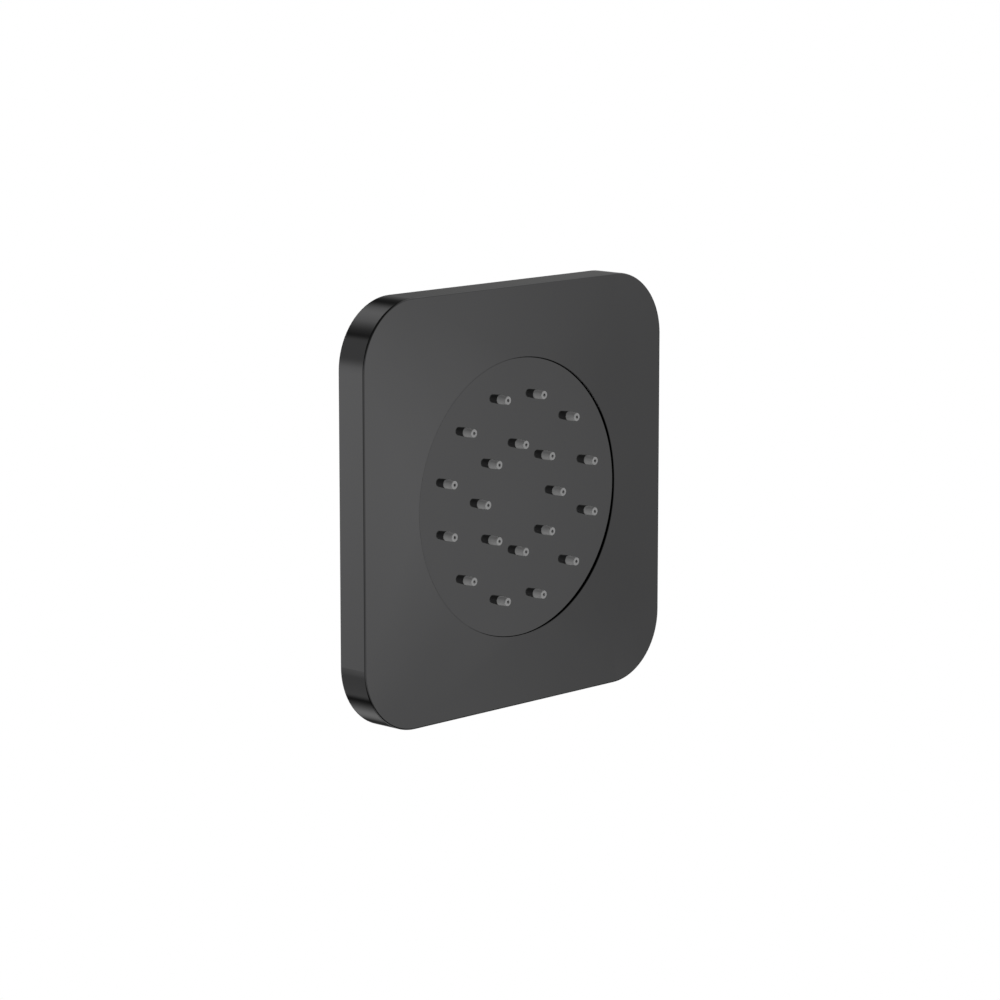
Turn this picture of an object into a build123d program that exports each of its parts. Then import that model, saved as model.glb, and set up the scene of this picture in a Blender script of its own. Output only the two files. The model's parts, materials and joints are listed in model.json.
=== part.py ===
from build123d import *
import os
from math import acos, asin, cos, degrees, hypot, radians, sin, sqrt, tan

# Shower body jet: a rounded-square wall cover with a round spray face that turns on a ball joint.
# Millimetres. +Z is up, +Y goes into the wall, and the user stands on the -Y side.
# The origin is the middle of the cover, on the face of the wall.

# Fits and clearances
RUNNING_CLEARANCE = 0.05
PUSH_CLEARANCE = 0.05
BOLT_CLEARANCE = 0.3
CUP_CLEARANCE = 1.0
SWING_CLEARANCE = 0.8

# Cover plate
PLATE_SIDE = 125.0
PLATE_DEPTH = 10.0
PLATE_CORNER = 20.0
PLATE_WALL = 2.5
FACE_CROWN = 1.4
FACE_BORDER = 21.3
FRONT_EDGE_ROUND = 0.45
OPENING_EDGE_ROUND = 0.2

# Posts and rubber grommets that hold the cover, and the soft strip behind its rim
POST_RADIUS = 2.5
POST_END_GAP = 0.8
POST_EDGE = 6.0
POST_TO_SCREW = 10.0
GROMMET_WALL = 1.5
GROMMET_LIP = 1.2
GROMMET_LIP_THICKNESS = 1.0
GASKET_WIDTH = 2.5
GASKET_THICKNESS = 1.5

# Spray face and its ball-shaped skirt
RIM_GAP = 0.15
FACE_RECESS = 0.55
FACE_THICKNESS = 1.6
FACE_EDGE_ROUND = 0.15
TILT_LIMIT = 8.0
SKIRT_MARGIN = 2.5

# Soft nozzles
OUTER_NOZZLE_ANGLE = 14.4
INNER_NOZZLES = 8
NOZZLES_TO_EDGE = 10.55
INNER_RING_RADIUS = 15.9
NOZZLE_HEIGHT = 3.25
NOZZLE_BASE_RADIUS = 1.4
NOZZLE_TIP_RADIUS = 1.22
NOZZLE_TIP_ROUND = 0.15
NOZZLE_FEED_RADIUS = 0.85
NOZZLE_JET_RADIUS = 0.5
NOZZLE_JET_LENGTH = 1.2
MAT_THICKNESS = 1.5

# Water chamber, its screws and the spreader inside it
CHAMBER_DEPTH = 3.0
CHAMBER_WALL = 2.2
CHAMBER_RIM = 2.0
CHAMBER_FLANGE_THICKNESS = 2.0
CHAMBER_SIDE_GAP = 1.2
BOSS_COUNT = 6
BOSS_RADIUS = 2.3
BOSS_HEIGHT = 3.0
BOSS_TO_MAT = 0.3
BOSS_FLOOR = 0.5
SCREW_RADIUS = 1.4
SCREW_HEAD_RADIUS = 2.4
SCREW_HEAD_HEIGHT = 1.6
SCREW_SLOT_WIDTH = 0.7
SCREW_SLOT_DEPTH = 0.8
RIB_COUNT = 6
RIB_WIDTH = 1.6
RIB_HEIGHT = 3.0
SPREADER_RADIUS = 12.0
SPREADER_THICKNESS = 1.0
SPREADER_GAP = 1.2
SPREADER_HOLES = 8
SPREADER_HOLE_RADIUS = 1.0
SPREADER_HOLE_RING = 8.0
SPREADER_LEGS = 3
SPREADER_LEG_RADIUS = 1.1
SPREADER_LEG_DEPTH = 1.2
SPREADER_LEG_INSET = 0.5

# Ball joint
BALL_RADIUS = 9.0
LINER_THICKNESS = 1.4
OUTLET_RADIUS = 5.0
OUTLET_WALL = 1.2
SEAL_MARGIN_ANGLE = 2.0
SEAL_ANGLE = 12.0
LINER_GAP_ANGLE = 1.0
LINER_END_ANGLE = 1.0
NECK_MARGIN_ANGLE = 3.0
HUB_WALL = 2.4
HUB_PAST_BALL = 2.5
NUT_WALL = 1.8
NUT_LIP = 3.4
NUT_LENGTH = 14.0
NUT_END_GAP = 0.1

# Brass inlet nipple with a G 1/2 pipe thread
NECK_RADIUS = 4.6
BALL_BORE_RADIUS = 3.2
COLLAR_ACROSS_FLATS = 22.0
COLLAR_THICKNESS = 4.0
THREAD_RADIUS = 10.4775
THREAD_FREE_LENGTH = 12.0
THREAD_CHAMFER = 1.0
THREAD_RELIEF_WIDTH = 1.0
THREAD_RELIEF_DEPTH = 1.25
INLET_BORE_RADIUS = 7.5
WASHER_THICKNESS = 1.5
WASHER_WIDTH = 2.7
LOCK_NUT_ACROSS_FLATS = 27.0
LOCK_NUT_THICKNESS = 6.0
NUT_CHAMFER = 0.8

# Flow regulator, its clip and the strainer, all in the inlet bore
REGULATOR_THICKNESS = 6.0
REGULATOR_RECESS = 3.0
REGULATOR_RIM = 1.4
REGULATOR_POST_RADIUS = 2.0
REGULATOR_HOLES = 8
REGULATOR_HOLE_RADIUS = 0.7
REGULATOR_RING_SECTION = 1.0
CLIP_THICKNESS = 0.9
CLIP_GROOVE_DEPTH = 0.6
CLIP_WIDTH = 1.3
CLIP_OPENING = 5.0
STRAINER_DEPTH = 8.0
STRAINER_RIM = 1.3
STRAINER_RIM_THICKNESS = 1.0
STRAINER_WALL = 0.6
STRAINER_TIP_RADIUS = 3.6
STRAINER_SLOTS = 12
STRAINER_SLOT_WIDTH = 0.7
STRAINER_SLOT_END = 1.2
STRAINER_GAP = 1.5

# In-wall cup
CUP_WALL = 2.0
CUP_FLOOR = 2.5
CUP_FLANGE_THICKNESS = 3.0
FLANGE_GAP = 0.5
WALL_SCREW_HOLE_RADIUS = 2.3
CUP_EDGE_ROUND = 1.2
GUSSET_COUNT = 8
GUSSET_WIDTH = 2.0
GUSSET_REACH = 18.0
GUSSET_HEIGHT = 12.0

# Cover outlines, from the front edge inwards
plate_half = PLATE_SIDE / 2
inner_side = PLATE_SIDE - 2 * PLATE_WALL
inner_corner = PLATE_CORNER - PLATE_WALL
flange_inset = GASKET_WIDTH + FLANGE_GAP
flange_side = inner_side - 2 * flange_inset
flange_corner = inner_corner - flange_inset
corner_centre = plate_half - PLATE_CORNER
post_x = flange_side / 2 - POST_EDGE
post_z = corner_centre - POST_TO_SCREW
grommet_radius = POST_RADIUS + PUSH_CLEARANCE + GROMMET_WALL

# Levels of the spray head along Y, from the front edge of the opening towards the wall
opening_radius = plate_half - FACE_BORDER
rim_crown = FACE_CROWN * (1 - (opening_radius / plate_half) ** 2)
rim_y = -PLATE_DEPTH - rim_crown
face_y = rim_y + FACE_RECESS
mat_y = face_y + FACE_THICKNESS
chamber_y = mat_y + MAT_THICKNESS
chamber_floor_y = chamber_y + CHAMBER_DEPTH
chamber_back_y = chamber_floor_y + CHAMBER_WALL
boss_y = mat_y + BOSS_HEIGHT

# Ball joint, measured from its centre on the Y axis
liner_inner = BALL_RADIUS + RUNNING_CLEARANCE
liner_outer = liner_inner + LINER_THICKNESS
socket_radius = liner_outer + RUNNING_CLEARANCE
swivel_y = chamber_floor_y + OUTLET_WALL + socket_radius
swing = degrees(acos(cos(radians(TILT_LIMIT)) ** 2))
opening_ball = hypot(opening_radius, swivel_y - rim_y)
head_ball = opening_ball - RIM_GAP
skirt_ball = head_ball - FACE_THICKNESS
skirt_start = degrees(acos((swivel_y - face_y) / head_ball))
skirt_end = skirt_start + swing + SKIRT_MARGIN
face_radius = head_ball * sin(radians(skirt_start))
seal_start = degrees(asin(BALL_BORE_RADIUS / BALL_RADIUS)) + swing + SEAL_MARGIN_ANGLE
seal_end = seal_start + SEAL_ANGLE
liner_start = seal_end + TILT_LIMIT + LINER_GAP_ANGLE
liner_end = TILT_LIMIT / 2 + LINER_END_ANGLE
neck_angle = degrees(asin(NECK_RADIUS / BALL_RADIUS)) + swing + NECK_MARGIN_ANGLE
hub_radius = socket_radius + HUB_WALL
hub_end_y = swivel_y + HUB_PAST_BALL
nut_bore = hub_radius + RUNNING_CLEARANCE
nut_across_flats = 2 * (nut_bore + NUT_WALL)
nut_back = (socket_radius + NUT_LIP) * cos(radians(neck_angle))
nut_back_y = swivel_y + nut_back
nut_corner = nut_across_flats / sqrt(3)
nut_reach = nut_back * cos(radians(swing)) + nut_corner * sin(radians(swing))

# Levels of the inlet along Y
collar_y = swivel_y + nut_reach + SWING_CLEARANCE
washer_y = collar_y + COLLAR_THICKNESS
cup_floor_y = washer_y + WASHER_THICKNESS
cup_back_y = cup_floor_y + CUP_FLOOR
thread_y = cup_back_y + LOCK_NUT_THICKNESS
inlet_y = thread_y + THREAD_FREE_LENGTH
strainer_tip_y = inlet_y - STRAINER_DEPTH
clip_y = strainer_tip_y - STRAINER_GAP
regulator_back_y = clip_y - CLIP_THICKNESS
regulator_y = regulator_back_y - REGULATOR_THICKNESS
regulator_floor_y = regulator_back_y - REGULATOR_RECESS
insert_radius = INLET_BORE_RADIUS - PUSH_CLEARANCE

# Circles of the spray head and the cup
outer_ring_radius = face_radius - NOZZLES_TO_EDGE
skirt_at_boss = sqrt(skirt_ball**2 - (swivel_y - boss_y) ** 2)
chamber_flange_radius = skirt_at_boss - CHAMBER_SIDE_GAP
boss_ring_radius = chamber_flange_radius - BOSS_RADIUS
mat_radius = boss_ring_radius - BOSS_RADIUS - BOSS_TO_MAT
pan_radius = head_ball + CUP_CLEARANCE
pan_floor_y = swivel_y - head_ball * cos(radians(skirt_end + swing)) + SWING_CLEARANCE
pan_back_y = pan_floor_y + CUP_WALL
well_radius = hypot(nut_corner, nut_back) + SWING_CLEARANCE
well_outer = well_radius + CUP_WALL
thread_hole_radius = THREAD_RADIUS + BOLT_CLEARANCE


def turned(*points):
    """Solid of revolution about Y from corners given as (radius, y)."""
    return revolve(make_face(Polyline(*points, close=True)), Axis.Y)


def rod(radius, y_start, y_end):
    """Cylinder on the Y axis between two levels."""
    return turned((0, y_start), (radius, y_start), (radius, y_end), (0, y_end))


def tube(inner, outer, y_start, y_end):
    """Ring on the Y axis between two levels."""
    return turned((inner, y_start), (outer, y_start), (outer, y_end), (inner, y_end))


def slab(outline, y_start, y_end):
    """Flat outline in the plane of the wall, as a solid between two levels."""
    return extrude(Plane.XZ.offset(-y_end) * outline, y_end - y_start)


def ball(radius):
    """Full ball on the swivel's centre."""
    return Pos(0, swivel_y, 0) * Rot(90, 0, 0) * Sphere(radius)


def ball_point(radius, angle):
    """Point (radius, y) of a ball about the swivel, at an angle from the forward axis."""
    return radius * sin(radians(angle)), swivel_y - radius * cos(radians(angle))


def ball_arc(radius, start, end):
    """Arc of a ball about the swivel between two angles from the forward axis."""
    middle = (start + end) / 2
    return ThreePointArc(*(ball_point(radius, angle) for angle in (start, middle, end)))


def ball_zone(inner, outer, start, end):
    """Ring cut from a hollow ball about the swivel, between two angles from the forward axis."""
    outline = [
        ball_arc(outer, start, end),
        Line(ball_point(outer, end), ball_point(inner, end)),
        ball_arc(inner, end, start),
        Line(ball_point(inner, start), ball_point(outer, start)),
    ]
    return revolve(make_face(outline), Axis.Y)


def ring_place(radius, angle):
    """Place on a circle round the Y axis, at an angle above +X."""
    return Pos(radius * cos(radians(angle)), 0, radius * sin(radians(angle)))


def on_ring(radius, count, first_angle):
    """Places spaced evenly round the Y axis, the first at an angle above +X."""
    return [ring_place(radius, first_angle + 360 * step / count) for step in range(count)]


def at_corners(x, z):
    """Four places, one in each quarter of the wall plane."""
    return [Pos(side * x, 0, level * z) for side in (-1, 1) for level in (-1, 1)]


quarter_angles = (OUTER_NOZZLE_ANGLE, 45, 90 - OUTER_NOZZLE_ANGLE)
outer_angles = [turn + angle for turn in (0, 90, 180, 270) for angle in quarter_angles]
nozzle_places = [ring_place(outer_ring_radius, angle) for angle in outer_angles]
nozzle_places += on_ring(INNER_RING_RADIUS, INNER_NOZZLES, 90)
boss_places = on_ring(boss_ring_radius, BOSS_COUNT, 90)
post_places = at_corners(post_x, post_z)


def crowned_front():
    """Pillow-shaped front of the cover: highest in the middle and level along its four edges."""
    past_edge = plate_half + PLATE_WALL
    end_height = 1 - (past_edge / plate_half) ** 2
    stations = [(-past_edge, end_height), (0, 2 - end_height), (past_edge, end_height)]
    return Face.make_bezier_surface(
        [
            [(x, -PLATE_DEPTH - FACE_CROWN * height_x * height_z, z) for z, height_z in stations]
            for x, height_x in stations
        ]
    )


def cover_plate():
    """Hollow rounded-square cover with a crowned front, a ball-shaped opening and four posts behind."""
    tallest = PLATE_DEPTH + 2 * FACE_CROWN
    block = slab(RectangleRounded(PLATE_SIDE, PLATE_SIDE, PLATE_CORNER), -tallest, 0)
    block &= Solid.extrude(crowned_front(), (0, 2 * tallest, 0))
    block = fillet(block.faces().sort_by(Axis.Y)[0].edges(), FRONT_EDGE_ROUND)
    ceiling_y = PLATE_WALL - PLATE_DEPTH
    shell = block - slab(RectangleRounded(inner_side, inner_side, inner_corner), ceiling_y, 0)
    shell -= ball(opening_ball)
    opening_edge = shell.faces().sort_by(Axis.Y)[0].inner_wires()[0].edges()
    shell = fillet(opening_edge, OPENING_EDGE_ROUND)
    post = rod(POST_RADIUS, ceiling_y, -POST_END_GAP)
    return shell + [place * post for place in post_places]


def wall_gasket():
    """Soft strip round the inside of the cover's rear edge, level with the wall."""
    outer = RectangleRounded(inner_side, inner_side, inner_corner)
    inner_width = inner_side - 2 * GASKET_WIDTH
    inner = RectangleRounded(inner_width, inner_width, inner_corner - GASKET_WIDTH)
    return slab(outer - inner, -GASKET_THICKNESS, 0)


def cover_grommets():
    """Four lipped rubber bushes, pushed into the cup's flange, that grip the cover's posts."""
    bore = POST_RADIUS + PUSH_CLEARANCE
    lip_y = -CUP_FLANGE_THICKNESS - GROMMET_LIP_THICKNESS
    grommet = tube(bore, grommet_radius, -CUP_FLANGE_THICKNESS, 0)
    grommet += tube(bore, grommet_radius + GROMMET_LIP, lip_y, -CUP_FLANGE_THICKNESS)
    return Compound([place * grommet for place in post_places])


def rounded_rod(radius, y_start, y_end, edge_round):
    """Cylinder on the Y axis between two levels, with its rear edge rounded."""
    plain = rod(radius, y_start, y_end)
    return fillet(plain.edges().sort_by(Axis.Y)[-1], edge_round)


def cup_gussets():
    """Triangular ribs that brace the cup's well against the back of its pan."""
    mid_wall = well_outer - CUP_WALL / 2
    mid_floor_y = pan_back_y - CUP_WALL / 2
    outline = Polyline(
        (mid_wall, mid_floor_y),
        (well_outer + GUSSET_REACH, mid_floor_y),
        (well_outer + GUSSET_REACH, pan_back_y),
        (well_outer, pan_back_y + GUSSET_HEIGHT),
        (mid_wall, pan_back_y + GUSSET_HEIGHT),
        close=True,
    )
    gusset = extrude(make_face(outline), GUSSET_WIDTH / 2, both=True)
    return [Rot(0, 360 * step / GUSSET_COUNT, 0) * gusset for step in range(GUSSET_COUNT)]


def mounting_cup():
    """Stepped cup let into the wall: a square flange, a shallow pan and a well that carries the inlet."""
    flange = slab(RectangleRounded(flange_side, flange_side, flange_corner), -CUP_FLANGE_THICKNESS, 0)
    cup = flange + rounded_rod(pan_radius + CUP_WALL, -CUP_FLANGE_THICKNESS, pan_back_y, CUP_EDGE_ROUND)
    cup += rounded_rod(well_outer, pan_floor_y, cup_back_y, CUP_EDGE_ROUND)
    cup += cup_gussets()
    cup -= rod(pan_radius, -CUP_FLANGE_THICKNESS, pan_floor_y)
    cup -= rod(well_radius, pan_floor_y, cup_floor_y)
    cup -= rod(thread_hole_radius, cup_floor_y, cup_back_y)
    wall_screw_hole = rod(WALL_SCREW_HOLE_RADIUS, -CUP_FLANGE_THICKNESS, 0)
    cup -= [place * wall_screw_hole for place in at_corners(corner_centre, corner_centre)]
    grommet_hole = rod(grommet_radius + PUSH_CLEARANCE, -CUP_FLANGE_THICKNESS, 0)
    return cup - [place * grommet_hole for place in post_places]


def hexagon(across_flats):
    """Hexagon outline given its width across flats."""
    return RegularPolygon(across_flats / 2, 6, major_radius=False)


def ball_nipple():
    """Turned brass inlet: ball, neck, hexagonal collar and pipe thread, bored right through."""
    nipple = ball(BALL_RADIUS) + rod(NECK_RADIUS, swivel_y, collar_y)
    nipple += slab(hexagon(COLLAR_ACROSS_FLATS), collar_y, washer_y)
    chamfer_radius = THREAD_RADIUS - THREAD_CHAMFER
    chamfer_y = inlet_y - THREAD_CHAMFER
    nipple += turned(
        (0, washer_y),
        (THREAD_RADIUS, washer_y),
        (THREAD_RADIUS, chamfer_y),
        (chamfer_radius, inlet_y),
        (0, inlet_y),
    )
    relief_radius = THREAD_RADIUS - THREAD_RELIEF_DEPTH
    nipple -= tube(relief_radius, thread_hole_radius, thread_y, thread_y + THREAD_RELIEF_WIDTH)
    nipple -= rod(BALL_BORE_RADIUS, swivel_y - BALL_RADIUS, regulator_y)
    nipple -= rod(INLET_BORE_RADIUS, regulator_y, inlet_y)
    return nipple - rod(INLET_BORE_RADIUS + CLIP_GROOVE_DEPTH, regulator_back_y, clip_y)


def inlet_washer():
    """Fibre washer between the nipple's collar and the cup's floor."""
    return tube(thread_hole_radius, thread_hole_radius + WASHER_WIDTH, washer_y, cup_floor_y)


def lock_nut():
    """Chamfered hexagonal nut that clamps the nipple to the cup from behind."""
    corner = LOCK_NUT_ACROSS_FLATS / sqrt(3)
    middle_y = (cup_back_y + thread_y) / 2
    rounding = turned(
        (0, cup_back_y),
        (corner, cup_back_y),
        (corner, middle_y),
        (corner - NUT_CHAMFER, thread_y),
        (0, thread_y),
    )
    nut = slab(hexagon(LOCK_NUT_ACROSS_FLATS), cup_back_y, thread_y) & rounding
    return nut - rod(THREAD_RADIUS + RUNNING_CLEARANCE, cup_back_y, thread_y)


def flow_regulator():
    """Moulded insert with an annular recess and a ring of small holes that limit the flow."""
    recess_outer = insert_radius - REGULATOR_RIM
    body = rod(insert_radius, regulator_y, regulator_back_y)
    body -= tube(REGULATOR_POST_RADIUS, recess_outer, regulator_floor_y, regulator_back_y)
    hole = rod(REGULATOR_HOLE_RADIUS, regulator_y, regulator_floor_y)
    hole_ring = (REGULATOR_POST_RADIUS + recess_outer) / 2
    return body - [place * hole for place in on_ring(hole_ring, REGULATOR_HOLES, 0)]


def regulator_ring():
    """Soft round ring that lies in the regulator's recess, round its post."""
    ring_radius = REGULATOR_POST_RADIUS + PUSH_CLEARANCE + REGULATOR_RING_SECTION
    ring_y = regulator_floor_y + REGULATOR_RING_SECTION
    return Pos(0, ring_y, 0) * Rot(90, 0, 0) * Torus(ring_radius, REGULATOR_RING_SECTION)


def regulator_clip():
    """Open spring ring in the inlet's groove that keeps the regulator in place."""
    outer = INLET_BORE_RADIUS + CLIP_GROOVE_DEPTH - PUSH_CLEARANCE
    ring = tube(outer - CLIP_WIDTH, outer, regulator_back_y, clip_y)
    return ring - slab(Pos(0, -outer) * Rectangle(CLIP_OPENING, 2 * outer), regulator_back_y, clip_y)


def inlet_strainer():
    """Slotted basket with a rim, set in the inlet's mouth."""
    mouth = insert_radius - STRAINER_RIM
    rim_start_y = inlet_y - STRAINER_RIM_THICKNESS
    floor_y = strainer_tip_y + STRAINER_WALL
    basket = tube(mouth, insert_radius, rim_start_y, inlet_y)
    basket += turned(
        (0, strainer_tip_y),
        (STRAINER_TIP_RADIUS, strainer_tip_y),
        (mouth + STRAINER_WALL, rim_start_y),
        (mouth + STRAINER_WALL, inlet_y),
        (mouth, inlet_y),
        (mouth, rim_start_y),
        (STRAINER_TIP_RADIUS - STRAINER_WALL, floor_y),
        (0, floor_y),
    )
    slot_outline = Pos(insert_radius / 2, 0) * Rectangle(insert_radius, STRAINER_SLOT_WIDTH)
    slot_outline -= Circle(STRAINER_TIP_RADIUS - 2 * STRAINER_WALL)
    slot = slab(slot_outline, floor_y, rim_start_y - STRAINER_SLOT_END)
    return basket - [Rot(0, 360 * step / STRAINER_SLOTS, 0) * slot for step in range(STRAINER_SLOTS)]


def front_liner():
    """Plastic half-ball liner between the front of the ball and the hub."""
    return ball_zone(liner_inner, liner_outer, liner_start, 90 - liner_end)


def rear_liner():
    """Plastic half-ball liner between the back of the ball and the ball nut."""
    return ball_zone(liner_inner, liner_outer, 90 + liner_end, 180 - neck_angle)


def ball_seal():
    """Soft seal that lies on the ball round the water outlet."""
    return ball_zone(liner_inner, liner_outer, seal_start, seal_end)


def ball_nut():
    """Hexagonal nut on the hub, with a ball-shaped lip that holds the ball from behind."""
    nut = slab(hexagon(nut_across_flats), nut_back_y - NUT_LENGTH, nut_back_y)
    nut -= rod(nut_bore, nut_back_y - NUT_LENGTH, hub_end_y + NUT_END_GAP)
    nut -= ball(socket_radius)
    mouth = nut_back * tan(radians(neck_angle))
    return nut - turned((0, swivel_y), (mouth, nut_back_y), (0, nut_back_y))


def spray_face():
    """Polished round cap: a flat pierced face, a ball-shaped skirt and six screw bosses inside."""
    inner_start = degrees(acos((swivel_y - mat_y) / skirt_ball))
    outline = [
        Line((0, face_y), (face_radius, face_y)),
        ball_arc(head_ball, skirt_start, skirt_end),
        Line(ball_point(head_ball, skirt_end), ball_point(skirt_ball, skirt_end)),
        ball_arc(skirt_ball, skirt_end, inner_start),
        Line(ball_point(skirt_ball, inner_start), (0, mat_y)),
        Line((0, mat_y), (0, face_y)),
    ]
    cap = revolve(make_face(outline), Axis.Y)
    cap = fillet(cap.faces().sort_by(Axis.Y)[0].edges(), FACE_EDGE_ROUND)
    boss = rod(BOSS_RADIUS, mat_y, boss_y)
    boss_hole = rod(SCREW_RADIUS + PUSH_CLEARANCE, mat_y + BOSS_FLOOR, boss_y)
    nozzle_hole = rod(NOZZLE_BASE_RADIUS + PUSH_CLEARANCE, face_y, mat_y)
    cap += [place * boss for place in boss_places]
    cap -= [place * boss_hole for place in boss_places]
    return cap - [place * nozzle_hole for place in nozzle_places]


def nozzle_mat():
    """Soft mat behind the spray face, with tapered nozzles that stand out through its holes."""
    tip_y = face_y - NOZZLE_HEIGHT
    jet_y = tip_y + NOZZLE_JET_LENGTH
    nozzle = turned(
        (0, mat_y),
        (NOZZLE_BASE_RADIUS, mat_y),
        (NOZZLE_BASE_RADIUS, face_y),
        (NOZZLE_TIP_RADIUS, tip_y),
        (0, tip_y),
    )
    nozzle = fillet(nozzle.edges().sort_by(Axis.Y)[0], NOZZLE_TIP_ROUND)
    passage = turned(
        (0, chamber_y),
        (NOZZLE_FEED_RADIUS, chamber_y),
        (NOZZLE_JET_RADIUS, jet_y),
        (NOZZLE_JET_RADIUS, tip_y),
        (0, tip_y),
    )
    mat = rod(mat_radius, mat_y, chamber_y) + [place * nozzle for place in nozzle_places]
    return mat - [place * passage for place in nozzle_places]


def water_chamber():
    """Moulded back of the spray head: a shallow chamber, a screw flange, ribs and a threaded hub."""
    flange_end_y = boss_y + CHAMBER_FLANGE_THICKNESS
    chamber = rod(mat_radius, chamber_y, chamber_back_y)
    chamber -= rod(mat_radius - CHAMBER_RIM, chamber_y, chamber_floor_y)
    chamber += tube(mat_radius - CHAMBER_RIM, chamber_flange_radius, boss_y, flange_end_y)
    screw_hole = rod(SCREW_RADIUS + BOLT_CLEARANCE, boss_y, flange_end_y)
    chamber -= [place * screw_hole for place in boss_places]
    chamber += rod(hub_radius, chamber_floor_y, hub_end_y)
    rib_end_y = chamber_back_y + RIB_HEIGHT
    rib = slab(Pos(mat_radius / 2, 0) * Rectangle(mat_radius, RIB_WIDTH), chamber_back_y, rib_end_y)
    rib &= rod(mat_radius, chamber_back_y, rib_end_y)
    chamber += [Rot(0, 360 * step / RIB_COUNT, 0) * rib for step in range(RIB_COUNT)]
    chamber -= ball(socket_radius)
    chamber -= rod(socket_radius, swivel_y, hub_end_y)
    chamber -= rod(OUTLET_RADIUS, chamber_floor_y, swivel_y)
    leg_end_y = chamber_floor_y + SPREADER_LEG_DEPTH
    leg_hole = rod(SPREADER_LEG_RADIUS + PUSH_CLEARANCE, chamber_floor_y, leg_end_y)
    return chamber - [place * leg_hole for place in spreader_legs()]


def spreader_legs():
    """Places of the spreader's legs, just inside its edge."""
    leg_ring = SPREADER_RADIUS - SPREADER_LEG_INSET - SPREADER_LEG_RADIUS
    return on_ring(leg_ring, SPREADER_LEGS, 90)


def flow_spreader():
    """Pierced disc on three legs that spreads the water over the nozzles."""
    back_y = chamber_floor_y - SPREADER_GAP
    spreader = rod(SPREADER_RADIUS, back_y - SPREADER_THICKNESS, back_y)
    hole = rod(SPREADER_HOLE_RADIUS, back_y - SPREADER_THICKNESS, back_y)
    spreader -= [place * hole for place in on_ring(SPREADER_HOLE_RING, SPREADER_HOLES, 0)]
    leg = rod(SPREADER_LEG_RADIUS, back_y - SPREADER_THICKNESS, chamber_floor_y + SPREADER_LEG_DEPTH)
    return spreader + [place * leg for place in spreader_legs()]


def chamber_screws():
    """Six cross-slotted screws that draw the chamber and the mat against the spray face."""
    seat_y = boss_y + CHAMBER_FLANGE_THICKNESS
    top_y = seat_y + SCREW_HEAD_HEIGHT
    screw = rod(SCREW_HEAD_RADIUS, seat_y, top_y) + rod(SCREW_RADIUS, mat_y + BOSS_FLOOR, seat_y)
    slot_length = 2 * (SCREW_HEAD_RADIUS - SCREW_SLOT_WIDTH)
    cross = Rectangle(slot_length, SCREW_SLOT_WIDTH) + Rectangle(SCREW_SLOT_WIDTH, slot_length)
    screw -= slab(cross, top_y - SCREW_SLOT_DEPTH, top_y)
    return Compound([place * screw for place in boss_places])


os.makedirs("parts", exist_ok=True)
for make_piece in (
    cover_plate,
    wall_gasket,
    cover_grommets,
    mounting_cup,
    ball_nipple,
    inlet_washer,
    lock_nut,
    flow_regulator,
    regulator_ring,
    regulator_clip,
    inlet_strainer,
    front_liner,
    rear_liner,
    ball_seal,
    ball_nut,
    spray_face,
    nozzle_mat,
    water_chamber,
    flow_spreader,
    chamber_screws,
):
    export_step(make_piece(), f"parts/{make_piece.__name__}.step")
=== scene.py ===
import json
import math

import bpy
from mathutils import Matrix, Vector


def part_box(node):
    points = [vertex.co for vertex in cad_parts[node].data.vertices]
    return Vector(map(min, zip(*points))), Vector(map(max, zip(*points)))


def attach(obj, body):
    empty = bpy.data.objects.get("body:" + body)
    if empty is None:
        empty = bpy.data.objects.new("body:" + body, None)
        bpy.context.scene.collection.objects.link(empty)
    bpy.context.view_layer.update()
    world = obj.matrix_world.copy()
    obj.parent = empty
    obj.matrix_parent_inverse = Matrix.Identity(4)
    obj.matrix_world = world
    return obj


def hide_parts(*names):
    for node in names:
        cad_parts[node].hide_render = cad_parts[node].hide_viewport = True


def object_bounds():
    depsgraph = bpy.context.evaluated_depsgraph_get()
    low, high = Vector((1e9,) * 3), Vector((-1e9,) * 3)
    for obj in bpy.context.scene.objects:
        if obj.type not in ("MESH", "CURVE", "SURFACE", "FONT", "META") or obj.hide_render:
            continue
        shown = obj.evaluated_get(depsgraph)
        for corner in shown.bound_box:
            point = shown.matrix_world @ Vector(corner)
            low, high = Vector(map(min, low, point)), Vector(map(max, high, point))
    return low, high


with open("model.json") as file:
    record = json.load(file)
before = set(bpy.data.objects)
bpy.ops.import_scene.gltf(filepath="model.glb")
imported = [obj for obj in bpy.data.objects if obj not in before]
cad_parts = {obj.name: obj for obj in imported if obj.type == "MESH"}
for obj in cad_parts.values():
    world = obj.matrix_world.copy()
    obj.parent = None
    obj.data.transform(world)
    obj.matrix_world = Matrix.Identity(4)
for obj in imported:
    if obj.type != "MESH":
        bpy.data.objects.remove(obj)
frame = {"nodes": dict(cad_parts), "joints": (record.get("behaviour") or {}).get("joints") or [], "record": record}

cad_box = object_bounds()
bpy.ops.object.select_all(action="DESELECT")

# In-wall cup: one injection moulding in grey ABS with a fine spark-eroded skin.
# Four screws through its square flange hold it to the wall, and it carries all the rest.
CUP_GREY = (0.125, 0.130, 0.135, 1)
CUP_GREY_WORN = (0.160, 0.165, 0.170, 1)
GRAIN_SCALE = 2500.0
GRAIN_STRENGTH = 0.5
GLOSS_SPREAD = 0.08


def new_finish(name):
    """Material with a Principled shader alone: returns the material, its node tree and the shader."""
    finish = bpy.data.materials.new(name)
    finish.use_nodes = True
    return finish, finish.node_tree, finish.node_tree.nodes["Principled BSDF"]


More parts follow.
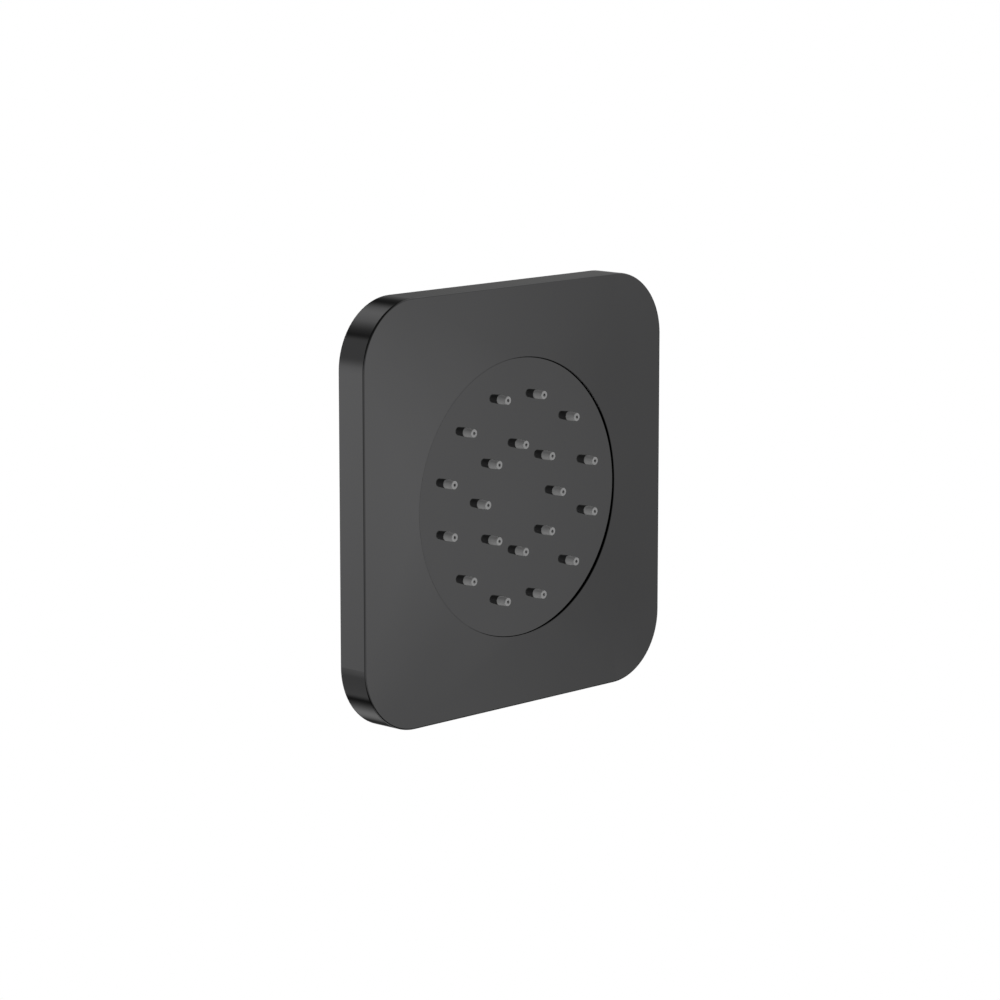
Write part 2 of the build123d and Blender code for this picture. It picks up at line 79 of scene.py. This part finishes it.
def new_effect(name, inputs, outputs):
    """Shader node group with named numbers in and out: returns it with its two end nodes."""
    effect = bpy.data.node_groups.new(name, "ShaderNodeTree")
    for label in inputs:
        effect.interface.new_socket(label, in_out="INPUT", socket_type="NodeSocketFloat")
    for label in outputs:
        effect.interface.new_socket(label, in_out="OUTPUT", socket_type="NodeSocketFloat")
    return effect, effect.nodes.new("NodeGroupInput"), effect.nodes.new("NodeGroupOutput")


def place_effect(tree, effect, values):
    """Copy of a node group in a material, with its own values."""
    node = tree.nodes.new("ShaderNodeGroup")
    node.node_tree = effect
    for label, value in values.items():
        node.inputs[label].default_value = value
    return node


def noise(tree, vector, scale, detail):
    """Noise texture on a vector, with its scale from a socket."""
    texture = tree.nodes.new("ShaderNodeTexNoise")
    texture.inputs["Detail"].default_value = detail
    tree.links.new(vector, texture.inputs["Vector"])
    tree.links.new(scale, texture.inputs["Scale"])
    return texture.outputs["Fac"]


def vary_colour(tree, mask, first, second, shader):
    """Base Color that runs from one colour to another with a mask."""
    mix = tree.nodes.new("ShaderNodeMix")
    mix.data_type = "RGBA"
    mix.inputs["A"].default_value = first
    mix.inputs["B"].default_value = second
    tree.links.new(mask, mix.inputs["Factor"])
    tree.links.new(mix.outputs["Result"], shader.inputs["Base Color"])


def vary_gloss(tree, mask, smooth, rough, shader):
    """Roughness that runs from one value to another with a mask."""
    span = tree.nodes.new("ShaderNodeMapRange")
    span.inputs["To Min"].default_value = smooth
    span.inputs["To Max"].default_value = rough
    tree.links.new(mask, span.inputs["Value"])
    tree.links.new(span.outputs["Result"], shader.inputs["Roughness"])


def raise_surface(tree, height, strength, depth, shader):
    """Bump from a height, with the depth in metres of its full range."""
    bump = tree.nodes.new("ShaderNodeBump")
    bump.inputs["Strength"].default_value = strength
    bump.inputs["Distance"].default_value = depth
    tree.links.new(height, bump.inputs["Height"])
    tree.links.new(bump.outputs["Normal"], shader.inputs["Normal"])


moulded_skin, skin_in, skin_out = new_effect(
    "moulded_skin", ["Mottle Scale", "Grain Scale"], ["Mottle", "Grain"]
)
skin_place = moulded_skin.nodes.new("ShaderNodeTexCoord").outputs["Object"]
skin_mottle = noise(moulded_skin, skin_place, skin_in.outputs["Mottle Scale"], detail=3)
skin_grain = noise(moulded_skin, skin_place, skin_in.outputs["Grain Scale"], detail=2)
moulded_skin.links.new(skin_mottle, skin_out.inputs["Mottle"])
moulded_skin.links.new(skin_grain, skin_out.inputs["Grain"])


def moulded(name, colour, worn, roughness, grain_depth, mottle_scale=60.0):
    """Moulded plastic or rubber: mottled colour, uneven gloss and a fine grain of a given depth."""
    finish, tree, shader = new_finish(name)
    skin = place_effect(tree, moulded_skin, {"Mottle Scale": mottle_scale, "Grain Scale": GRAIN_SCALE})
    grain = skin.outputs["Grain"]
    vary_colour(tree, skin.outputs["Mottle"], colour, worn, shader)
    vary_gloss(tree, grain, roughness - GLOSS_SPREAD, roughness + GLOSS_SPREAD, shader)
    raise_surface(tree, grain, GRAIN_STRENGTH, grain_depth, shader)
    return finish


def dress(finish, *names):
    """Gives CAD nodes a finish."""
    for name in names:
        frame["nodes"][name].material_slots[0].material = finish


cup_plastic = moulded("cup_plastic", CUP_GREY, CUP_GREY_WORN, roughness=0.55, grain_depth=0.00008)
dress(cup_plastic, "mounting_cup")

# Soft pieces behind the cover, all moulded in black rubber: four lipped bushes in the flange that grip
# the cover's posts, the strip that seals its rear edge, the seal on the ball and the regulator's ring.
RUBBER_BLACK = (0.014, 0.014, 0.015, 1)
RUBBER_BLOOM = (0.034, 0.034, 0.036, 1)
rubber = moulded("black_rubber", RUBBER_BLACK, RUBBER_BLOOM, roughness=0.72, grain_depth=0.00005)
dress(rubber, "cover_grommets", "wall_gasket", "ball_seal", "regulator_ring")

# Inlet nipple: turned from brass hexagon and left bright, with the ball that the spray head swivels
# on in front, a hexagonal collar and a half-inch pipe thread with a rounded V form. It is bored
# right through, with a wider bore and a groove for the regulator and its clip.
BRASS_BRIGHT = (0.72, 0.51, 0.24, 1)
BRASS_DULL = (0.46, 0.31, 0.14, 1)
RING_SCALE = 3000.0
RING_STRENGTH = 0.4
TARNISH_SCALE = 90.0
KEEP_X_AND_Z = (1, 0, 1)
BALL_RADIUS = 0.0090
BALL_STEPS = 40
BALL_BORE_RADIUS = 0.0032
NECK_RADIUS = 0.0046
COLLAR_ACROSS_FLATS = 0.0220
COLLAR_THICKNESS = 0.0040
COLLAR_SECTOR = math.radians(60)
RELIEF_WIDTH = 0.0010
RELIEF_DEPTH = 0.00125
THREAD_PITCH = 0.001814
THREAD_DEPTH = 0.001162
THREAD_SHARPNESS = 0.96
THREAD_CHAMFER = 0.0010
THREAD_ROWS = 84
CHAMFER_ROWS = 8
TURN_STEPS = 120
SHARP_EDGE = math.radians(40)
INSERT_CLEARANCE = 0.00005
SAME_PLACE = 0.000001
turned_rings, rings_in, rings_out = new_effect(
    "turned_rings", ["Ring Scale", "Tarnish Scale"], ["Rings", "Tarnish"]
)
ring_place = turned_rings.nodes.new("ShaderNodeTexCoord").outputs["Object"]
ring_split = turned_rings.nodes.new("ShaderNodeSeparateXYZ")
ring_across = turned_rings.nodes.new("ShaderNodeVectorMath")
ring_across.operation = "MULTIPLY"
ring_across.inputs[1].default_value = KEEP_X_AND_Z
ring_radius = turned_rings.nodes.new("ShaderNodeVectorMath")
ring_radius.operation = "LENGTH"
ring_profile = turned_rings.nodes.new("ShaderNodeCombineXYZ")
turned_rings.links.new(ring_place, ring_split.inputs["Vector"])
turned_rings.links.new(ring_place, ring_across.inputs[0])
turned_rings.links.new(ring_across.outputs["Vector"], ring_radius.inputs[0])
turned_rings.links.new(ring_radius.outputs["Value"], ring_profile.inputs["X"])
turned_rings.links.new(ring_split.outputs["Y"], ring_profile.inputs["Y"])
ring_noise = noise(turned_rings, ring_profile.outputs["Vector"], rings_in.outputs["Ring Scale"], detail=1)
tarnish_noise = noise(turned_rings, ring_place, rings_in.outputs["Tarnish Scale"], detail=4)
turned_rings.links.new(ring_noise, rings_out.inputs["Rings"])
turned_rings.links.new(tarnish_noise, rings_out.inputs["Tarnish"])


def turned_metal(name, bright, dull, smooth, rough, ring_depth):
    """Bare turned metal: tarnished colour, uneven gloss and fine rings round the Y axis."""
    finish, tree, shader = new_finish(name)
    shader.inputs["Metallic"].default_value = 1.0
    rings = place_effect(tree, turned_rings, {"Ring Scale": RING_SCALE, "Tarnish Scale": TARNISH_SCALE})
    vary_colour(tree, rings.outputs["Tarnish"], bright, dull, shader)
    vary_gloss(tree, rings.outputs["Tarnish"], smooth, rough, shader)
    raise_surface(tree, rings.outputs["Rings"], RING_STRENGTH, ring_depth, shader)
    return finish


brass = turned_metal("brass", BRASS_BRIGHT, BRASS_DULL, smooth=0.18, rough=0.36, ring_depth=0.00003)

inlet_thread = next(mount for mount in frame["record"]["mounts"] if mount["name"] == "inlet_thread")
thread_radius = inlet_thread["dims"]["r_mm"] / 1000
ball_y = frame["joints"][0]["pos_m"][1]
washer_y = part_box("inlet_washer")[0].y
relief_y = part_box("lock_nut")[1].y
thread_y = relief_y + RELIEF_WIDTH
inlet_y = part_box("ball_nipple")[1].y
chamfer_y = inlet_y - THREAD_CHAMFER
collar_y = washer_y - COLLAR_THICKNESS
relief_radius = thread_radius - RELIEF_DEPTH
collar_radius = COLLAR_ACROSS_FLATS / 2
regulator_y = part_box("flow_regulator")[0].y
inlet_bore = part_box("flow_regulator")[1].x + INSERT_CLEARANCE
groove_start_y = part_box("regulator_clip")[0].y
groove_end_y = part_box("regulator_clip")[1].y
groove_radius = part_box("regulator_clip")[1].x + INSERT_CLEARANCE
ball_front = (BALL_BORE_RADIUS, ball_y - math.sqrt(BALL_RADIUS**2 - BALL_BORE_RADIUS**2))
ball_back = (NECK_RADIUS, ball_y + math.sqrt(BALL_RADIUS**2 - NECK_RADIUS**2))
ball_turn = math.pi - math.asin(BALL_BORE_RADIUS / BALL_RADIUS) - math.asin(NECK_RADIUS / BALL_RADIUS)
thread_rows = [
    (thread_radius, thread_y + (chamfer_y - thread_y) * row / THREAD_ROWS) for row in range(THREAD_ROWS + 1)
]
chamfer_rows = [
    (thread_radius - THREAD_CHAMFER * row / CHAMFER_ROWS, chamfer_y + THREAD_CHAMFER * row / CHAMFER_ROWS)
    for row in range(1, CHAMFER_ROWS + 1)
]
outline_from_ball = [
    ball_back,
    (NECK_RADIUS, collar_y),
    (collar_radius, collar_y),
    (collar_radius, washer_y),
    (thread_radius, washer_y),
    (thread_radius, relief_y),
    (relief_radius, relief_y),
    (relief_radius, thread_y),
    *thread_rows,
    *chamfer_rows,
    (inlet_bore, inlet_y),
    (inlet_bore, groove_end_y),
    (groove_radius, groove_end_y),
    (groove_radius, groove_start_y),
    (inlet_bore, groove_start_y),
    (inlet_bore, regulator_y),
    (BALL_BORE_RADIUS, regulator_y),
    ball_front,
]

# The half section starts as one point, goes round the ball and on along the outline.
bpy.ops.mesh.primitive_plane_add(size=THREAD_PITCH)
nipple = bpy.context.object
nipple.name = "threaded_nipple"
bpy.ops.object.mode_set(mode="EDIT")
bpy.ops.mesh.merge(type="CENTER")
bpy.ops.transform.translate(value=(*ball_front, 0))
bpy.ops.mesh.spin(steps=BALL_STEPS, angle=ball_turn, center=(0, ball_y, 0), axis=(0, 0, -1))
for (radius_from, y_from), (radius_to, y_to) in zip(outline_from_ball, outline_from_ball[1:]):
    bpy.ops.mesh.extrude_region_move(
        TRANSFORM_OT_translate={"value": (radius_to - radius_from, y_to - y_from, 0)}
    )

# The section is turned into the round blank.
bpy.ops.mesh.select_all(action="SELECT")
bpy.ops.mesh.spin(steps=TURN_STEPS, angle=2 * math.pi, center=(0, 0, 0), axis=(0, 1, 0))
bpy.ops.mesh.select_all(action="SELECT")
bpy.ops.mesh.remove_doubles(threshold=SAME_PLACE)
bpy.ops.mesh.normals_make_consistent(inside=False)
bpy.ops.object.mode_set(mode="OBJECT")

# The collar gets its six flats and the blank its thread.
for vertex in nipple.data.vertices:
    x, y, z = vertex.co
    blank_radius = math.hypot(x, z)
    cut_radius = blank_radius
    if abs(blank_radius - collar_radius) < SAME_PLACE:
        off_flat = math.atan2(z, x) % COLLAR_SECTOR - COLLAR_SECTOR / 2
        cut_radius = collar_radius / math.cos(off_flat)
    elif y > thread_y - SAME_PLACE and blank_radius > relief_radius + SAME_PLACE:
        wave = math.sin(2 * math.pi * y / THREAD_PITCH - math.atan2(x, z))
        ridge = math.asin(THREAD_SHARPNESS * wave) / math.asin(THREAD_SHARPNESS)
        cut_radius = min(blank_radius, thread_radius - THREAD_DEPTH * (1 - ridge) / 2)
    vertex.co.x *= cut_radius / blank_radius
    vertex.co.z *= cut_radius / blank_radius
bpy.ops.object.shade_smooth_by_angle(angle=SHARP_EDGE)
nipple.data.materials.append(brass)
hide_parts("ball_nipple")
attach(nipple, "wall_side")

# Lock nut and ball nut: turned and bored from brass hexagon. One clamps the nipple to the cup from
# behind, and the other holds the ball in the spray head's hub.
dress(brass, "lock_nut", "ball_nut")

# Inlet washer: a flat ring punched from red-brown vulcanised fibre, mottled by its pressed layers.
# The lock nut squeezes it between the nipple's collar and the cup's floor.
FIBRE_RED = (0.24, 0.055, 0.035, 1)
FIBRE_PALE = (0.38, 0.13, 0.09, 1)
fibre = moulded("fibre", FIBRE_RED, FIBRE_PALE, roughness=0.82, grain_depth=0.0001, mottle_scale=900.0)
dress(fibre, "inlet_washer")

# Flow regulator: a round insert moulded in green acetal, with a recess for its soft ring and small
# holes that limit the flow. It is pushed into the inlet's bore.
ACETAL_GREEN = (0.10, 0.30, 0.16, 1)
ACETAL_GREEN_PALE = (0.13, 0.36, 0.20, 1)
regulator_plastic = moulded(
    "regulator_plastic", ACETAL_GREEN, ACETAL_GREEN_PALE, roughness=0.38, grain_depth=0.00003
)
dress(regulator_plastic, "flow_regulator")

# Regulator clip and chamber screws, in stainless steel: an open ring sprung into a groove behind the
# regulator, and six turned, slotted screws that clamp the chamber and the mat to the spray face.
STEEL_BRIGHT = (0.56, 0.55, 0.53, 1)
STEEL_DULL = (0.40, 0.39, 0.38, 1)
steel = turned_metal("spring_steel", STEEL_BRIGHT, STEEL_DULL, smooth=0.16, rough=0.30, ring_depth=0.00002)
dress(steel, "regulator_clip", "chamber_screws")

# Inlet strainer: a slotted basket that keeps grit out of the jet, moulded in natural nylon that has
# yellowed a little with age. It is pushed into the inlet's mouth.
NYLON_PALE = (0.66, 0.63, 0.54, 1)
NYLON_AGED = (0.56, 0.52, 0.41, 1)
nylon = moulded("strainer_plastic", NYLON_PALE, NYLON_AGED, roughness=0.46, grain_depth=0.00003)
dress(nylon, "inlet_strainer")

# Ball liners and flow spreader: white acetal, smooth from the mould. The two half-ball liners let the
# head turn on the ball, and the pierced spreader stands on legs in front of the water's outlet.
ACETAL_WHITE = (0.76, 0.76, 0.74, 1)
ACETAL_SHADE = (0.68, 0.68, 0.66, 1)
acetal = moulded("liner_plastic", ACETAL_WHITE, ACETAL_SHADE, roughness=0.34, grain_depth=0.00002)
dress(acetal, "front_liner", "rear_liner", "flow_spreader")

# Water chamber: the moulded back of the spray head, in black glass-filled plastic with flow marks.
# Its hub takes the ball, and six screws hold it to the spray face.
CHAMBER_BLACK = (0.020, 0.020, 0.021, 1)
CHAMBER_FLOW = (0.042, 0.042, 0.044, 1)
chamber_plastic = moulded(
    "chamber_plastic", CHAMBER_BLACK, CHAMBER_FLOW, roughness=0.50, grain_depth=0.00008, mottle_scale=140.0
)
dress(chamber_plastic, "water_chamber")

# Nozzle mat: one soft moulding in satin grey silicone, clamped between the chamber and the spray face.
# Its 20 nozzles stand out through the holes in the face.
SILICONE_GREY = (0.175, 0.175, 0.175, 1)
SILICONE_PALE = (0.205, 0.205, 0.205, 1)
silicone = moulded(
    "nozzle_silicone", SILICONE_GREY, SILICONE_PALE, roughness=0.45, grain_depth=0.00003, mottle_scale=400.0
)
dress(silicone, "nozzle_mat")

# Spray face and cover: moulded, plated with black chrome and polished to a dark mirror with a faint
# haze. The face is screwed to the chamber, and the cover's posts are pushed into the cup's bushes.
BLACK_CHROME = (0.078, 0.078, 0.079, 1)
BLACK_CHROME_HAZE = (0.083, 0.083, 0.084, 1)
HAZE_SCALE = 35.0
chrome, chrome_tree, chrome_shader = new_finish("black_chrome")
chrome_shader.inputs["Metallic"].default_value = 1.0
plating = place_effect(chrome_tree, moulded_skin, {"Mottle Scale": HAZE_SCALE, "Grain Scale": GRAIN_SCALE})
haze = plating.outputs["Mottle"]
vary_colour(chrome_tree, haze, BLACK_CHROME, BLACK_CHROME_HAZE, chrome_shader)
vary_gloss(chrome_tree, haze, smooth=0.07, rough=0.10, shader=chrome_shader)
dress(chrome, "spray_face", "cover_plate")

# Floor: a plain pale disc well below the part, which hangs on a wall and stands on nothing.
# It fades towards its edge into the white backdrop.
FLOOR_DROP = 0.60
FLOOR_REACH = 0.42
FLOOR_FADE_START = 0.4 * FLOOR_REACH
FLOOR_SIDES = 96
FLOOR_WHITE = (0.86, 0.86, 0.86, 1)
FLOOR_ROUGHNESS = 0.9
KEEP_X_AND_Y = (1, 1, 0)
bpy.ops.mesh.primitive_circle_add(
    vertices=FLOOR_SIDES, radius=FLOOR_REACH, fill_type="NGON", location=(0, 0, cad_box[0].z - FLOOR_DROP)
)
floor = bpy.context.object
floor.name = "floor"
bpy.ops.object.transform_apply(location=True)
floor_finish, floor_tree, floor_shader = new_finish("floor_white")
floor_shader.inputs["Base Color"].default_value = FLOOR_WHITE
floor_shader.inputs["Roughness"].default_value = FLOOR_ROUGHNESS
floor_place = floor_tree.nodes.new("ShaderNodeTexCoord").outputs["Object"]
floor_across = floor_tree.nodes.new("ShaderNodeVectorMath")
floor_across.operation = "MULTIPLY"
floor_across.inputs[1].default_value = KEEP_X_AND_Y
floor_radius = floor_tree.nodes.new("ShaderNodeVectorMath")
floor_radius.operation = "LENGTH"
floor_fade = floor_tree.nodes.new("ShaderNodeMapRange")
floor_fade.interpolation_type = "SMOOTHSTEP"
floor_fade.inputs["From Min"].default_value = FLOOR_FADE_START
floor_fade.inputs["From Max"].default_value = FLOOR_REACH
floor_fade.inputs["To Min"].default_value = 1
floor_fade.inputs["To Max"].default_value = 0
floor_tree.links.new(floor_place, floor_across.inputs[0])
floor_tree.links.new(floor_across.outputs["Vector"], floor_radius.inputs[0])
floor_tree.links.new(floor_radius.outputs["Value"], floor_fade.inputs["Value"])
floor_tree.links.new(floor_fade.outputs["Result"], floor_shader.inputs["Alpha"])
floor.data.materials.append(floor_finish)

# Studio: a white backdrop, and soft lights round the part that the polished faces mirror. Each has its
# azimuth from +Y towards +X, its elevation, the half-widths of its full and of its whole spread, all in
# degrees, and its level. A flag is a dark panel that takes light away, with a level below zero.
STUDIO_LEVEL = 0.045
STUDIO_WHITE = (1, 1, 1, 1)
BACKDROP_LEVEL = 1
SOFT_LIGHTS = [
    ("front right, middle", 141, -9.5, 0, 7.5, 0.34),
    ("front right, spread", 147, -11.5, 12, 17.5, 0.34),
    ("front right, wide", 104, 13, 25, 67.5, 0.66),
    ("right, high", 100, 44, 8, 30, 0.45),
    ("right, flag", 97, -9, 10, 34, -0.42),
    ("front, middle", 180, -14, 12, 32, 0.50),
    ("front left, middle", -138, -14, 12, 32, 0.50),
    ("front left, wide", -150, 0, 10, 75, 0.10),
    ("left", -90, -13, 6, 20, 0.30),
    ("rear left, middle", -40, -6, 0, 16.5, 0.85),
    ("rear left, spread", -40, -6.5, 35, 42.5, 0.40),
    ("above", 4.5, 44.5, 1.5, 26.5, 0.86),
    ("above left", -26, 48.5, 11.5, 17.5, 0.13),
    ("below", 12, -44, 0, 22, 0.60),
    ("rear right", 41.5, 14.5, 4, 12, 0.06),
    ("rear right, low", 46, -10, 4, 14, 0.50),
    ("behind", 0, -12, 4, 22, 0.50),
]
world = bpy.data.worlds.new("studio")
world.use_nodes = True
bpy.context.scene.world = world
sky = world.node_tree
sky_direction = sky.nodes.new("ShaderNodeTexCoord").outputs["Generated"]
level = sky.nodes.new("ShaderNodeValue").outputs["Value"]
level.default_value = STUDIO_LEVEL
for _, azimuth, elevation, full, whole, strength in SOFT_LIGHTS:
    azimuth = math.radians(azimuth)
    elevation = math.radians(elevation)
    toward = sky.nodes.new("ShaderNodeVectorMath")
    toward.operation = "DOT_PRODUCT"
    toward.inputs[1].default_value = (
        math.sin(azimuth) * math.cos(elevation), math.cos(azimuth) * math.cos(elevation), math.sin(elevation)
    )
    angle = sky.nodes.new("ShaderNodeMath")
    angle.operation = "ARCCOSINE"
    glow = sky.nodes.new("ShaderNodeMapRange")
    glow.interpolation_type = "SMOOTHSTEP"
    glow.inputs["From Min"].default_value = math.radians(full)
    glow.inputs["From Max"].default_value = math.radians(whole)
    glow.inputs["To Min"].default_value = strength
    glow.inputs["To Max"].default_value = 0
    total = sky.nodes.new("ShaderNodeMath")
    total.operation = "ADD"
    sky.links.new(sky_direction, toward.inputs[0])
    sky.links.new(toward.outputs["Value"], angle.inputs[0])
    sky.links.new(angle.outputs["Value"], glow.inputs["Value"])
    sky.links.new(glow.outputs["Result"], total.inputs[0])
    sky.links.new(level, total.inputs[1])
    level = total.outputs["Value"]
ray = sky.nodes.new("ShaderNodeLightPath")
straight = sky.nodes.new("ShaderNodeMath")
straight.operation = "MAXIMUM"
backdrop = sky.nodes.new("ShaderNodeMix")
backdrop.inputs["B"].default_value = BACKDROP_LEVEL
sky.links.new(ray.outputs["Is Camera Ray"], straight.inputs[0])
sky.links.new(ray.outputs["Is Transmission Ray"], straight.inputs[1])
sky.links.new(straight.outputs["Value"], backdrop.inputs["Factor"])
sky.links.new(level, backdrop.inputs["A"])
sky.links.new(backdrop.outputs["Result"], sky.nodes["Background"].inputs["Strength"])
sky.nodes["Background"].inputs["Color"].default_value = STUDIO_WHITE

# Lamps: three large soft panels that give the matt pieces their form, in front, low on the left and
# behind, each with its place and size in metres and its power in watts. The polished faces don't
# mirror them.
LAMPS = [
    ("key_lamp", (-0.1, -1.3, 0.8), 0.6, 17),
    ("side_lamp", (-0.62, -0.28, -0.62), 0.4, 6.8),
    ("back_lamp", (0.3, 1.4, 0.8), 0.9, 24),
]
for lamp_name, lamp_place, lamp_size, power in LAMPS:
    lamp = bpy.data.objects.new(lamp_name, bpy.data.lights.new(lamp_name, "AREA"))
    lamp.data.size = lamp_size
    lamp.data.energy = power
    lamp.location = lamp_place
    lamp.rotation_euler = Vector(lamp_place).to_track_quat("Z", "Y").to_euler()
    lamp.visible_glossy = False
    lamp.visible_camera = False
    bpy.context.collection.objects.link(lamp)

# Camera: the photograph's place, to the left of the part and a little above it, about a metre away
# with a long lens. The frame's middle lies a little to the left of the cover's and below it.
CAMERA_AZIMUTH = math.radians(-46.08)
CAMERA_ELEVATION = math.radians(9.96)
CAMERA_DISTANCE = 1.0968
CAMERA_LENS = 134.7
SENSOR_WIDTH = 36
FRAME_RIGHT = 0.00519
FRAME_UP = 0.00084
FRONT_EDGE = -0.010
back = Vector(
    (
        math.sin(CAMERA_AZIMUTH) * math.cos(CAMERA_ELEVATION),
        -math.cos(CAMERA_AZIMUTH) * math.cos(CAMERA_ELEVATION),
        math.sin(CAMERA_ELEVATION),
    )
)
right = Vector((math.cos(CAMERA_AZIMUTH), math.sin(CAMERA_AZIMUTH), 0))
aim = Vector((0, FRONT_EDGE, 0)) - FRAME_RIGHT * right - FRAME_UP * back.cross(right)
camera = bpy.data.objects.new("camera", bpy.data.cameras.new("camera"))
camera.data.lens = CAMERA_LENS
camera.data.sensor_width = SENSOR_WIDTH
camera.location = aim + CAMERA_DISTANCE * back
camera.rotation_euler = back.to_track_quat("Z", "Y").to_euler()
bpy.context.collection.objects.link(camera)
bpy.context.scene.camera = camera
bpy.context.scene.view_settings.view_transform = "Standard"
